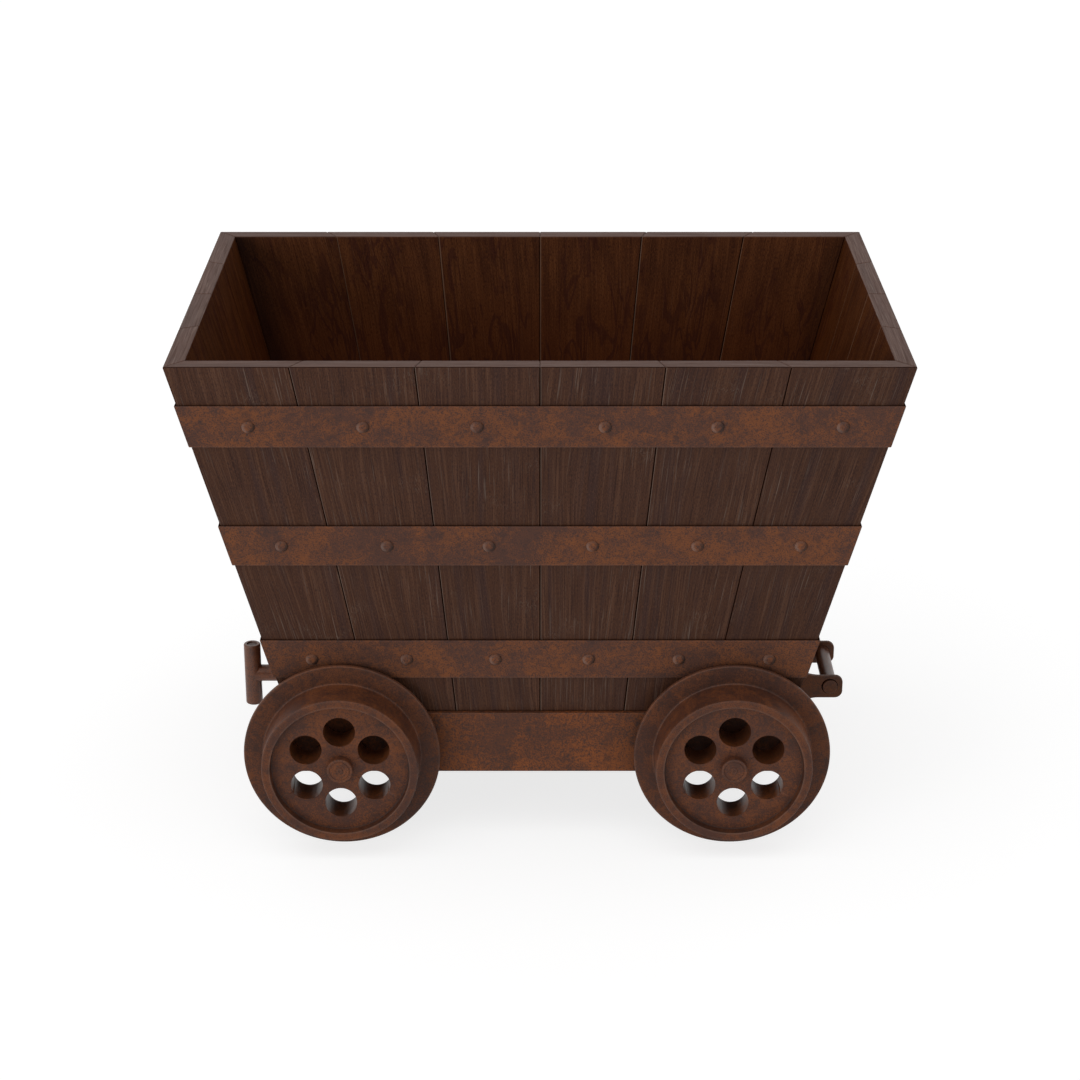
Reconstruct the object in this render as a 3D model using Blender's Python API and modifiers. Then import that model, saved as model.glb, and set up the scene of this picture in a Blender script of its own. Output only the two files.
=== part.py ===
# Mine cart: a tapered plank tub with three iron hoops, on an iron frame with four flanged wheels.
# Metres, +Z up, the floor at z = 0. The drawbar end is at -X, the hitch end at +X, the near side at -Y.
import math

import bmesh
import bpy
from mathutils import Matrix, Vector

# Clearances
GAP = 0.0003                # between pieces that are fixed together
RUN = 0.0004                # between pieces that turn past each other
SEAM = 0.0006               # between neighbouring planks

# Tub, measured outside
RIM_HEIGHT = 1.0325
RIM_LENGTH = 1.400
RIM_WIDTH = 0.941
FOOT_LENGTH = 1.006
FOOT_WIDTH = 0.742
END_WALL = 0.0365           # wall thicknesses, measured level
SIDE_WALL = 0.040
SIDE_PLANKS = 6
END_PLANKS = 4
FLOOR_BOARDS = 4
FLOOR_THICKNESS = 0.036
PLANK_EASE = 0.002

# Hoops and rivets
HOOP_HEIGHT = 0.086
HOOP_THICKNESS = 0.0042
HOOP_DROP = 0.079           # rim to the top edge of the upper hoop
HOOP_LIFT = 0.0807          # plank feet to the bottom edge of the lower hoop
HOOP_EASE = 0.0006
RIVET_DIAMETER = 0.025
RIVET_RISE = 0.0060
# how far each hand-set rivet of a long side is from the middle of its plank
RIVET_SHIFT = {
    "upper_hoop": (0.013, 0.004, -0.006, 0.010, -0.003, 0.008),
    "middle_hoop": (0.008, 0.009, 0.003, 0.0, 0.0, -0.003),
    "lower_hoop": (0.0, 0.007, 0.002, 0.006, 0.004, 0.003),
}

# Frame
SILL_HEIGHT = 0.130
SILL_UNDERSIDE = 0.1465     # above the floor
SILL_STEP = 0.008           # sill face outside the plank feet
BEAM_STEP = 0.017           # end beam face outside the plank feet
CHANNEL_WEB = 0.008
SILL_FLANGE = 0.062
BEAM_FLANGE = 0.070
BEARER_SPREAD = 0.300       # between the two cross bearers
BEARER_FLANGE = 0.045
BEARER_HEIGHT = 0.095

# Wheels and axles
FLANGE_DIAMETER = 0.392
FLANGE_THICKNESS = 0.010
FLANGE_EASE = 0.001
TREAD_WIDTH = 0.070
TREAD_BACK_RADIUS = 0.157
TREAD_FRONT_RADIUS = 0.1545
TREAD_ROOT = 0.0015
TREAD_EASE = 0.0012
RING_INNER_RADIUS = 0.138
RING_DRAFT = 0.0015
WEB_RECESS = 0.0175
HOLE_COUNT = 6
HOLE_DIAMETER = 0.0635
HOLE_CIRCLE_RADIUS = 0.0775
AXLE_INSET = 0.1135         # ends of the plank feet to the axles
WHEEL_SHIFT = -0.006        # the wheels stand a little toward the drawbar end
WHEEL_OFFSET = 0.018        # sill face to the back of the flange
AXLE_DIAMETER = 0.040
AXLE_EASE = 0.001
BUSH_WALL = 0.0045
COLLAR_WALL = 0.014
CAP_DIAMETER = 0.051
CAP_THICKNESS = 0.017
CAP_EASE = 0.001
SPIGOT_DIAMETER = 0.016
SPIGOT_LENGTH = 0.018
BLOCK_LENGTH = 0.090
BLOCK_DEPTH = 0.046
BLOCK_EASE = 0.004

# Drawbar and hitch
DRAWBAR_HEIGHT = 0.188
BAR_DIAMETER = 0.0355
BAR_LENGTH = 0.138
BAR_EASE = 0.003
BAR_STANDOFF = 0.0946       # end beam to the upright bar's axis
SHANK_DIAMETER = 0.030
SHANK_TAIL = 0.012          # shank beyond the nut
NUT_FLATS = 0.046
NUT_HEIGHT = 0.024
HITCH_HEIGHT = 0.1975
PIN_DIAMETER = 0.031
PIN_STANDOFF = 0.092        # end beam to the pin's axis
PIN_PROUD = 0.0025
PIN_EASE = 0.0015
CHEEK_LENGTH = 0.1185       # end beam to the tips of the cheeks
CHEEK_HEIGHT = 0.051
CHEEK_THICKNESS = 0.007
CHEEK_SPREAD = 0.1805       # over the outer faces of the cheeks
CHEEK_CORNER = 0.016
CHEEK_FLARE = 0.070         # radius of the flare that runs into the base
FLARE_LENGTH = 0.056
BASE_THICKNESS = 0.012
BASE_MARGIN = 0.004

ROUND = 20                  # facets round a shaft
WHEEL_ROUND = 32
HOLE_ROUND = 16
RIVET_ROUND = 8

# Places that follow from the sizes above
SILL_TOP = SILL_UNDERSIDE + SILL_HEIGHT
FOOT_Z = SILL_TOP + GAP
SILL_Y = FOOT_WIDTH / 2 + SILL_STEP
BEAM_X = FOOT_LENGTH / 2 + BEAM_STEP
BAR_REACH = BEAM_X + BAR_STANDOFF
PIN_REACH = BEAM_X + PIN_STANDOFF
CHEEK_REACH = BEAM_X + CHEEK_LENGTH
HOOP_COUNT = len(RIVET_SHIFT)
HOOP_PITCH = (RIM_HEIGHT - HOOP_DROP - HOOP_HEIGHT - HOOP_LIFT - FOOT_Z) / (HOOP_COUNT - 1)
AXLE_Z = FLANGE_DIAMETER / 2
AXLE_RADIUS = AXLE_DIAMETER / 2
BUSH_RADIUS = AXLE_RADIUS + RUN + BUSH_WALL
WHEEL_BACK_Y = SILL_Y + WHEEL_OFFSET
WHEEL_DEPTH = FLANGE_THICKNESS + TREAD_WIDTH
WEB_DEPTH = WHEEL_DEPTH - WEB_RECESS
AXLE_HALF = WHEEL_BACK_Y + WEB_DEPTH + RUN - GAP
WHEEL_X = {
    "drawbar": WHEEL_SHIFT - FOOT_LENGTH / 2 + AXLE_INSET,
    "hitch": WHEEL_SHIFT + FOOT_LENGTH / 2 - AXLE_INSET,
}
SIDES = {"near": -1, "far": 1}

for old in list(bpy.data.objects):
    bpy.data.objects.remove(old, do_unlink=True)

cart = bpy.data.collections.new("mine_cart")
forms = bpy.data.collections.new("cutting_forms")
bpy.context.scene.collection.children.link(cart)
bpy.context.scene.collection.children.link(forms)


def surface(name, colour, roughness, metallic):
    material = bpy.data.materials.new(name)
    material.use_nodes = True
    shader = material.node_tree.nodes["Principled BSDF"]
    shader.inputs["Base Color"].default_value = (*colour, 1.0)
    shader.inputs["Roughness"].default_value = roughness
    shader.inputs["Metallic"].default_value = metallic
    return material


side_wood = surface("side_wood", (0.062, 0.033, 0.024), 0.70, 0.0)
end_wood = surface("end_wood", (0.056, 0.029, 0.020), 0.72, 0.0)
floor_wood = surface("floor_wood", (0.045, 0.024, 0.014), 0.80, 0.0)
hoop_iron = surface("hoop_iron", (0.105, 0.048, 0.030), 0.62, 0.5)
frame_iron = surface("frame_iron", (0.096, 0.042, 0.025), 0.66, 0.5)
wheel_iron = surface("wheel_iron", (0.085, 0.037, 0.024), 0.58, 0.6)
axle_steel = surface("axle_steel", (0.150, 0.120, 0.105), 0.45, 0.9)
bush_bronze = surface("bush_bronze", (0.300, 0.170, 0.070), 0.40, 0.9)
coupler_iron = surface("coupler_iron", (0.080, 0.038, 0.028), 0.55, 0.6)


def place(name, mesh, material):
    # a piece of the cart, or a form used to shape one when it has no material
    piece = bpy.data.objects.new(name, mesh)
    if material:
        mesh.materials.append(material)
        cart.objects.link(piece)
    else:
        forms.objects.link(piece)
        piece.hide_render = True
        piece.display_type = "WIRE"
    return piece


def closed_mesh(name, shape):
    shape.normal_update()
    bmesh.ops.recalc_face_normals(shape, faces=shape.faces)
    mesh = bpy.data.meshes.new(name)
    shape.to_mesh(mesh)
    shape.free()
    return mesh


def shaped_block(name, corner, material):
    # a block whose eight corners are put in place by corner(u, v, w), each 0 or 1
    shape = bmesh.new()
    bmesh.ops.create_cube(shape, size=1.0)
    for vert in shape.verts:
        vert.co = Vector(corner(vert.co.x + 0.5, vert.co.y + 0.5, vert.co.z + 0.5))
    return place(name, closed_mesh(name, shape), material)


def box(name, low, high, material):
    def corner(u, v, w):
        return [a + (b - a) * t for a, b, t in zip(low, high, (u, v, w))]
    return shaped_block(name, corner, material)


def cylinders(name, radius, depth, spots, facets):
    # one form holding upright cylinders, each centred on a spot
    shape = bmesh.new()
    for spot in spots:
        bmesh.ops.create_cone(
            shape,
            cap_ends=True,
            segments=facets,
            radius1=radius,
            radius2=radius,
            depth=depth,
            matrix=Matrix.Translation(spot),
        )
    return place(name, closed_mesh(name, shape), None)


def ease(piece, width):
    bevel = piece.modifiers.new("eased_edges", "BEVEL")
    bevel.width = width
    bevel.segments = 1
    bevel.limit_method = "ANGLE"
    bevel.angle_limit = math.radians(30)


def combine(piece, form, operation):
    cut = piece.modifiers.new(form.name, "BOOLEAN")
    cut.operation = operation
    cut.solver = "EXACT"
    cut.object = form


def turned(name, profile, facets, material, closed=False):
    # a profile of (radius, height) points, from the top down its outer side, turned about local Z
    mesh = bpy.data.meshes.new(name)
    edges = [(i, i + 1) for i in range(len(profile) - 1)]
    if closed:
        edges.append((len(profile) - 1, 0))
    mesh.from_pydata([(radius, 0.0, height) for radius, height in profile], edges, [])
    piece = place(name, mesh, material)
    screw = piece.modifiers.new("turned", "SCREW")
    screw.axis = "Z"
    screw.angle = math.tau
    screw.steps = facets
    screw.render_steps = facets
    screw.use_merge_vertices = True
    screw.merge_threshold = 0.00001
    screw.use_smooth_shade = False
    return piece


def plate(name, outline, thickness, stand, material, holes=()):
    # an outline in local XY, made thick about its middle, then stood in place by a matrix
    curve = bpy.data.curves.new(name, "CURVE")
    curve.dimensions = "2D"
    curve.fill_mode = "BOTH"
    curve.extrude = thickness / 2
    for loop in (outline, *holes):
        spline = curve.splines.new("POLY")
        spline.points.add(len(loop) - 1)
        for point, (x, y) in zip(spline.points, loop):
            point.co = (x, y, 0.0, 1.0)
        spline.use_cyclic_u = True
    former = bpy.data.objects.new(name, curve)
    forms.objects.link(former)
    shape = bmesh.new()
    flat = former.to_mesh()
    shape.from_mesh(flat)
    former.to_mesh_clear()
    bpy.data.objects.remove(former, do_unlink=True)
    bpy.data.curves.remove(curve)
    bmesh.ops.remove_doubles(shape, verts=shape.verts, dist=0.000005)
    bmesh.ops.transform(shape, matrix=stand, verts=shape.verts)
    return place(name, closed_mesh(name, shape), material)


def arc(centre, radius, start, end, steps):
    points = []
    for i in range(steps + 1):
        angle = math.radians(start + (end - start) * i / steps)
        points.append((centre[0] + radius * math.cos(angle), centre[1] + radius * math.sin(angle)))
    return points


# Stands for outlines and turned pieces: local axes as they lie in the cart
ALONG_X = Matrix(((0, 0, 1, 0), (1, 0, 0, 0), (0, 1, 0, 0), (0, 0, 0, 1)))       # outline in YZ
ALONG_Y = Matrix(((1, 0, 0, 0), (0, 0, -1, 0), (0, 1, 0, 0), (0, 0, 0, 1)))      # outline in XZ
TURN_TO_SIDE = {"near": (math.pi / 2, 0, 0), "far": (-math.pi / 2, 0, 0)}


def half_size(z):
    # half the outside length and width of the tub at a height
    rise = (z - FOOT_Z) / (RIM_HEIGHT - FOOT_Z)
    length = FOOT_LENGTH + (RIM_LENGTH - FOOT_LENGTH) * rise
    width = FOOT_WIDTH + (RIM_WIDTH - FOOT_WIDTH) * rise
    return length / 2, width / 2


def wall_point(wall, share, grow_x, grow_y, z, shift=0.0):
    # a point on a wall, share of the way along it, moved out of the outer face by grow
    length, width = half_size(z)
    length += grow_x
    width += grow_y
    across = 2 * share - 1
    if wall in SIDES:
        return across * length + shift, SIDES[wall] * width, z
    return (-length if wall == "drawbar_end" else length), across * width + shift, z


# Tub: planks cut as slices of one tapered shell, so the corners mitre and every seam follows the taper
def wall_plank(wall, index, count, material):
    def corner(u, v, w):
        z = FOOT_Z + (RIM_HEIGHT - FOOT_Z) * w
        seam = SEAM * (0.5 - u)
        return wall_point(wall, (index + u) / count, -END_WALL * v, -SIDE_WALL * v, z, seam)
    suffix = "side" if wall in SIDES else ""
    name = "_".join(part for part in (wall, suffix, "plank", str(index + 1)) if part)
    plank = shaped_block(name, corner, material)
    ease(plank, PLANK_EASE)


for wall in ("near", "far"):
    for index in range(SIDE_PLANKS):
        wall_plank(wall, index, SIDE_PLANKS, side_wood)
for wall in ("drawbar_end", "hitch_end"):
    for index in range(END_PLANKS):
        wall_plank(wall, index, END_PLANKS, end_wood)


def floor_board(index):
    def corner(u, v, w):
        z = FOOT_Z + FLOOR_THICKNESS * w
        length, width = half_size(z)
        length -= END_WALL + GAP
        width -= SIDE_WALL + GAP
        across = 2 * (index + v) / FLOOR_BOARDS - 1
        return (2 * u - 1) * length, across * width + SEAM * (0.5 - v), z
    shaped_block("floor_board_" + str(index + 1), corner, floor_wood)


for index in range(FLOOR_BOARDS):
    floor_board(index)


# Hoops: tapered bands that hug the planks, with a forged rivet head over every plank
def tapered_form(name, low, high, grow, material):
    def corner(u, v, w):
        z = low + (high - low) * w
        length, width = half_size(z)
        return (2 * u - 1) * (length + grow), (2 * v - 1) * (width + grow), z
    return shaped_block(name, corner, material)


def wall_lean():
    rise = RIM_HEIGHT - FOOT_Z
    end_lean = math.atan2((RIM_LENGTH - FOOT_LENGTH) / 2, rise)
    side_lean = math.atan2((RIM_WIDTH - FOOT_WIDTH) / 2, rise)
    return end_lean, side_lean


def rivet_heads(name, z):
    shape = bmesh.new()
    end_lean, side_lean = wall_lean()
    outward = {
        "near": Vector((0, -math.cos(side_lean), -math.sin(side_lean))),
        "far": Vector((0, math.cos(side_lean), -math.sin(side_lean))),
        "drawbar_end": Vector((-math.cos(end_lean), 0, -math.sin(end_lean))),
        "hitch_end": Vector((math.cos(end_lean), 0, -math.sin(end_lean))),
    }
    grow = GAP + HOOP_THICKNESS
    for wall, normal in outward.items():
        count = SIDE_PLANKS if wall in SIDES else END_PLANKS
        for index in range(count):
            shift = RIVET_SHIFT[name][index] if wall in SIDES else 0.0
            spot = Vector(wall_point(wall, (index + 0.5) / count, grow, grow, z, shift))
            turn = normal.to_track_quat("Z", "Y").to_matrix().to_4x4()
            size = Matrix.Diagonal((RIVET_DIAMETER / 2, RIVET_DIAMETER / 2, RIVET_RISE, 1.0))
            head = bmesh.ops.create_uvsphere(shape, u_segments=RIVET_ROUND, v_segments=6, radius=1.0)["verts"]
            for vert in head:
                if vert.co.z < 0:
                    vert.co.z *= HOOP_THICKNESS / 2 / RIVET_RISE     # the shank side stays inside the hoop
            bmesh.ops.transform(shape, matrix=Matrix.Translation(spot) @ turn @ size, verts=head)
    return place(name + "_rivets", closed_mesh(name + "_rivets", shape), None)


for index, name in enumerate(RIVET_SHIFT):
    high = RIM_HEIGHT - HOOP_DROP - HOOP_PITCH * index
    low = high - HOOP_HEIGHT
    hoop = tapered_form(name, low, high, GAP + HOOP_THICKNESS, hoop_iron)
    inside = tapered_form(name + "_inside", low - HOOP_HEIGHT / 4, high + HOOP_HEIGHT / 4, GAP, None)
    combine(hoop, inside, "DIFFERENCE")
    ease(hoop, HOOP_EASE)
    combine(hoop, rivet_heads(name, (low + high) / 2), "UNION")


# Frame: two channel sills, with end beams and cross bearers coped to fit between them
def channel_outline(face, facing, low, high, flange):
    # a channel section whose web stands at face, with its flanges turned the way of facing
    inner = face + facing * CHANNEL_WEB
    tip = face + facing * flange
    return [
        (face, low),
        (tip, low),
        (tip, low + CHANNEL_WEB),
        (inner, low + CHANNEL_WEB),
        (inner, high - CHANNEL_WEB),
        (tip, high - CHANNEL_WEB),
        (tip, high),
        (face, high),
    ]


for wall, sign in SIDES.items():
    name = wall + "_side_sill"
    outline = channel_outline(sign * SILL_Y, -sign, SILL_UNDERSIDE, SILL_TOP, SILL_FLANGE)
    sill = plate(name, outline, 2 * BEAM_X, ALONG_X, frame_iron)
    spots = [(x, 0, 0) for x in WHEEL_X.values()]
    holes = cylinders(name + "_axle_holes", AXLE_RADIUS + GAP, 4 * CHANNEL_WEB, spots, ROUND)
    holes.location = (0, sign * SILL_Y, AXLE_Z)
    holes.rotation_euler = TURN_TO_SIDE[wall]
    combine(sill, holes, "DIFFERENCE")


def cross_member(name, face, facing, low, flange):
    # a channel from sill web to sill web, its corners cut away to clear the sill flanges
    reach = SILL_Y - CHANNEL_WEB - GAP
    outline = channel_outline(face, facing, low, SILL_TOP, flange)
    member = plate(name, outline, 2 * reach, ALONG_Y, frame_iron)
    clear_y = SILL_Y - SILL_FLANGE - GAP
    ends = (face - flange * 2, face + flange * 2)
    for wall, sign in SIDES.items():
        near_y, far_y = sorted((sign * clear_y, sign * SILL_Y))
        levels = {
            "top": (SILL_TOP - CHANNEL_WEB - GAP, SILL_TOP + CHANNEL_WEB),
            "bottom": (SILL_UNDERSIDE - CHANNEL_WEB, SILL_UNDERSIDE + CHANNEL_WEB + GAP),
        }
        for level, (bottom, top) in levels.items():
            if low < top:
                form_name = "_".join((name, wall, level, "cope"))
                cope = box(form_name, (ends[0], near_y, bottom), (ends[1], far_y, top), None)
                combine(member, cope, "DIFFERENCE")
    return member


drawbar_beam = cross_member("drawbar_end_beam", -BEAM_X, 1, SILL_UNDERSIDE, BEAM_FLANGE)
cross_member("hitch_end_beam", BEAM_X, -1, SILL_UNDERSIDE, BEAM_FLANGE)
bearer_low = SILL_TOP - BEARER_HEIGHT
cross_member("drawbar_cross_bearer", -BEARER_SPREAD / 2, 1, bearer_low, BEARER_FLANGE)
cross_member("hitch_cross_bearer", BEARER_SPREAD / 2, -1, bearer_low, BEARER_FLANGE)


# Axles stand still in blocks behind the sills; each wheel turns on its end with its own bush
axle_profile = [
    (0.0, AXLE_HALF - SPIGOT_LENGTH - GAP),
    (SPIGOT_DIAMETER / 2 + GAP, AXLE_HALF - SPIGOT_LENGTH - GAP),
    (SPIGOT_DIAMETER / 2 + GAP, AXLE_HALF),
    (AXLE_RADIUS - AXLE_EASE, AXLE_HALF),
    (AXLE_RADIUS, AXLE_HALF - AXLE_EASE),
]
axle_profile += [(radius, -height) for radius, height in reversed(axle_profile)]

wheel_profile = [
    (BUSH_RADIUS + GAP, WEB_DEPTH),
    (RING_INNER_RADIUS - RING_DRAFT, WEB_DEPTH),
    (RING_INNER_RADIUS, WHEEL_DEPTH - TREAD_EASE / 2),
    (RING_INNER_RADIUS + TREAD_EASE / 2, WHEEL_DEPTH),
    (TREAD_FRONT_RADIUS - TREAD_EASE, WHEEL_DEPTH),
    (TREAD_FRONT_RADIUS, WHEEL_DEPTH - TREAD_EASE),
    (TREAD_BACK_RADIUS, FLANGE_THICKNESS + TREAD_ROOT),
    (TREAD_BACK_RADIUS + TREAD_ROOT, FLANGE_THICKNESS),
    (FLANGE_DIAMETER / 2 - FLANGE_EASE, FLANGE_THICKNESS),
    (FLANGE_DIAMETER / 2, FLANGE_THICKNESS - FLANGE_EASE),
    (FLANGE_DIAMETER / 2, FLANGE_EASE),
    (FLANGE_DIAMETER / 2 - FLANGE_EASE, 0.0),
    (BUSH_RADIUS + GAP, 0.0),
]

bush_profile = [
    (AXLE_RADIUS + RUN, WEB_DEPTH - GAP),
    (BUSH_RADIUS, WEB_DEPTH - GAP),
    (BUSH_RADIUS, GAP),
    (AXLE_RADIUS + RUN, GAP),
]

collar_profile = [
    (AXLE_RADIUS + GAP, -RUN),
    (AXLE_RADIUS + COLLAR_WALL, -RUN),
    (AXLE_RADIUS + COLLAR_WALL, GAP - WHEEL_OFFSET),
    (AXLE_RADIUS + GAP, GAP - WHEEL_OFFSET),
]

cap_foot = WEB_DEPTH + RUN
cap_profile = [
    (0.0, cap_foot + CAP_THICKNESS),
    (CAP_DIAMETER / 2 - CAP_EASE, cap_foot + CAP_THICKNESS),
    (CAP_DIAMETER / 2, cap_foot + CAP_THICKNESS - CAP_EASE),
    (CAP_DIAMETER / 2, cap_foot),
    (SPIGOT_DIAMETER / 2, cap_foot),
    (SPIGOT_DIAMETER / 2, cap_foot - SPIGOT_LENGTH),
    (0.0, cap_foot - SPIGOT_LENGTH),
]


def stand_on_axle(piece, x, wall):
    piece.location = (x, SIDES[wall] * WHEEL_BACK_Y, AXLE_Z)
    piece.rotation_euler = TURN_TO_SIDE[wall]


for end, x in WHEEL_X.items():
    axle = turned(end + "_axle", axle_profile, ROUND, axle_steel)
    axle.location = (x, 0, AXLE_Z)
    axle.rotation_euler = TURN_TO_SIDE["near"]
    for wall, sign in SIDES.items():
        corner_name = wall + "_" + end
        wheel = turned(corner_name + "_wheel", wheel_profile, WHEEL_ROUND, wheel_iron, closed=True)
        spots = []
        for k in range(HOLE_COUNT):
            angle = math.pi / 2 + math.tau * k / HOLE_COUNT
            reach = Vector((math.cos(angle), math.sin(angle), 0.0)) * HOLE_CIRCLE_RADIUS
            spots.append(reach + Vector((0, 0, WEB_DEPTH / 2)))
        holes = cylinders(corner_name + "_wheel_holes", HOLE_DIAMETER / 2, WEB_DEPTH * 1.5, spots, HOLE_ROUND)
        stand_on_axle(wheel, x, wall)
        stand_on_axle(holes, x, wall)
        combine(wheel, holes, "DIFFERENCE")
        bush = turned(corner_name + "_bush", bush_profile, ROUND, bush_bronze, closed=True)
        stand_on_axle(bush, x, wall)
        collar = turned(corner_name + "_collar", collar_profile, ROUND, axle_steel, closed=True)
        stand_on_axle(collar, x, wall)
        cap = turned(corner_name + "_hub_cap", cap_profile, ROUND, wheel_iron)
        stand_on_axle(cap, x, wall)
        inner_y = SILL_Y - CHANNEL_WEB - GAP
        near_y, far_y = sorted((sign * inner_y, sign * (inner_y - BLOCK_DEPTH)))
        block = box(
            corner_name + "_axle_block",
            (x - BLOCK_LENGTH / 2, near_y, SILL_UNDERSIDE + CHANNEL_WEB + GAP),
            (x + BLOCK_LENGTH / 2, far_y, SILL_TOP - CHANNEL_WEB - GAP),
            frame_iron,
        )
        ease(block, BLOCK_EASE)
        bore = cylinders(corner_name + "_bore", AXLE_RADIUS + GAP, BLOCK_DEPTH * 3, [(0, 0, 0)], ROUND)
        bore.location = (x, sign * inner_y, AXLE_Z)
        bore.rotation_euler = TURN_TO_SIDE[wall]
        combine(block, bore, "DIFFERENCE")


# Drawbar: a round arm through the end beam, held by a nut, with an upright round bar on its end
TURN_TO_DRAWBAR = (0, -math.pi / 2, 0)
web_inside = BEAM_X - CHANNEL_WEB
nut_foot = web_inside - GAP
shank_end = nut_foot - NUT_HEIGHT - SHANK_TAIL
drawbar = turned(
    "drawbar",
    [
        (0.0, BAR_REACH),
        (BAR_DIAMETER / 2, BAR_REACH),
        (BAR_DIAMETER / 2, BEAM_X + GAP),
        (SHANK_DIAMETER / 2, BEAM_X + GAP),
        (SHANK_DIAMETER / 2, shank_end + BAR_EASE),
        (SHANK_DIAMETER / 2 - BAR_EASE, shank_end),
        (0.0, shank_end),
    ],
    ROUND,
    coupler_iron,
)
drawbar.location = (0, 0, DRAWBAR_HEIGHT)
drawbar.rotation_euler = TURN_TO_DRAWBAR
upright = turned(
    "drawbar_upright",
    [
        (0.0, BAR_LENGTH / 2),
        (BAR_DIAMETER / 2 - BAR_EASE, BAR_LENGTH / 2),
        (BAR_DIAMETER / 2, BAR_LENGTH / 2 - BAR_EASE),
        (BAR_DIAMETER / 2, BAR_EASE - BAR_LENGTH / 2),
        (BAR_DIAMETER / 2 - BAR_EASE, -BAR_LENGTH / 2),
        (0.0, -BAR_LENGTH / 2),
    ],
    ROUND,
    None,
)
upright.location = (-BAR_REACH, 0, DRAWBAR_HEIGHT)
combine(drawbar, upright, "UNION")

hole = cylinders("drawbar_hole", SHANK_DIAMETER / 2 + GAP, 4 * CHANNEL_WEB, [(0, 0, 0)], ROUND)
hole.location = (-BEAM_X, 0, DRAWBAR_HEIGHT)
hole.rotation_euler = TURN_TO_DRAWBAR
combine(drawbar_beam, hole, "DIFFERENCE")

nut_corner = NUT_FLATS / 2 / math.cos(math.pi / 6)
plate(
    "drawbar_nut",
    arc((0, DRAWBAR_HEIGHT), nut_corner, 0, 300, 5),
    NUT_HEIGHT,
    Matrix.Translation((NUT_HEIGHT / 2 - nut_foot, 0, 0)) @ ALONG_X,
    axle_steel,
    holes=[arc((0, DRAWBAR_HEIGHT), SHANK_DIAMETER / 2 + GAP, 0, 360 - 360 / ROUND, ROUND - 1)],
)

# Hitch: a bracket with two flared cheeks on the other end beam, and the pin across them
base_front = BEAM_X + GAP + BASE_THICKNESS
half = CHEEK_HEIGHT / 2
flare_x = base_front + FLARE_LENGTH
flare_start = math.degrees(math.acos(-FLARE_LENGTH / CHEEK_FLARE))
root_half = half + CHEEK_FLARE * (1 - math.sin(math.radians(flare_start)))
rounded = CHEEK_REACH - CHEEK_CORNER
upper_edge = [(base_front - BASE_THICKNESS / 2, root_half)]
upper_edge += arc((flare_x, half + CHEEK_FLARE), CHEEK_FLARE, 360 - flare_start, 270, 6)
upper_edge += arc((rounded, half - CHEEK_CORNER), CHEEK_CORNER, 90, 0, 4)
cheek_outline = upper_edge + [(x, -z) for x, z in reversed(upper_edge)]
cheek_middle = (CHEEK_SPREAD - CHEEK_THICKNESS) / 2

bracket = box(
    "hitch_bracket",
    (BEAM_X + GAP, -CHEEK_SPREAD / 2 - BASE_MARGIN, HITCH_HEIGHT - root_half - BASE_MARGIN),
    (base_front, CHEEK_SPREAD / 2 + BASE_MARGIN, HITCH_HEIGHT + root_half + BASE_MARGIN),
    coupler_iron,
)
for wall, sign in SIDES.items():
    stand = Matrix.Translation((0, sign * cheek_middle, HITCH_HEIGHT)) @ ALONG_Y
    combine(bracket, plate(wall + "_cheek", cheek_outline, CHEEK_THICKNESS, stand, None), "UNION")
hole = cylinders("pin_hole", PIN_DIAMETER / 2 + GAP, CHEEK_SPREAD * 2, [(0, 0, 0)], ROUND)
hole.location = (PIN_REACH, 0, HITCH_HEIGHT)
hole.rotation_euler = TURN_TO_SIDE["near"]
combine(bracket, hole, "DIFFERENCE")

pin_half = CHEEK_SPREAD / 2 + PIN_PROUD
pin = turned(
    "hitch_pin",
    [
        (0.0, pin_half),
        (PIN_DIAMETER / 2 - PIN_EASE, pin_half),
        (PIN_DIAMETER / 2, pin_half - PIN_EASE),
        (PIN_DIAMETER / 2, PIN_EASE - pin_half),
        (PIN_DIAMETER / 2 - PIN_EASE, -pin_half),
        (0.0, -pin_half),
    ],
    ROUND,
    coupler_iron,
)
pin.location = (PIN_REACH, 0, HITCH_HEIGHT)
pin.rotation_euler = TURN_TO_SIDE["near"]
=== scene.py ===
import math

import bmesh
import bpy
from mathutils import Matrix, Vector


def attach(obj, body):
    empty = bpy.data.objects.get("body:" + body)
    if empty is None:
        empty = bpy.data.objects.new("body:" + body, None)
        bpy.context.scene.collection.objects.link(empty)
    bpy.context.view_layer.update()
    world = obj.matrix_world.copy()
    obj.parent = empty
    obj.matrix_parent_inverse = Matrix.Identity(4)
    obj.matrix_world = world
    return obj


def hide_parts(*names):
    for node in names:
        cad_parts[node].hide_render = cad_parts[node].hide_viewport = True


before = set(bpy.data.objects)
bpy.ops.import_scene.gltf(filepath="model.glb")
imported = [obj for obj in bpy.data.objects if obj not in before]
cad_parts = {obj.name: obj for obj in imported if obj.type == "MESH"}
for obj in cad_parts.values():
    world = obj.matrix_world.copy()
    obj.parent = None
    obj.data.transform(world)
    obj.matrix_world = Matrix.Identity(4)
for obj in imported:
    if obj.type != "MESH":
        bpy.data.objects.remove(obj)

scene = bpy.context.scene
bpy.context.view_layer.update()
print("frame loaded,", len(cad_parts), "pieces")


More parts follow.
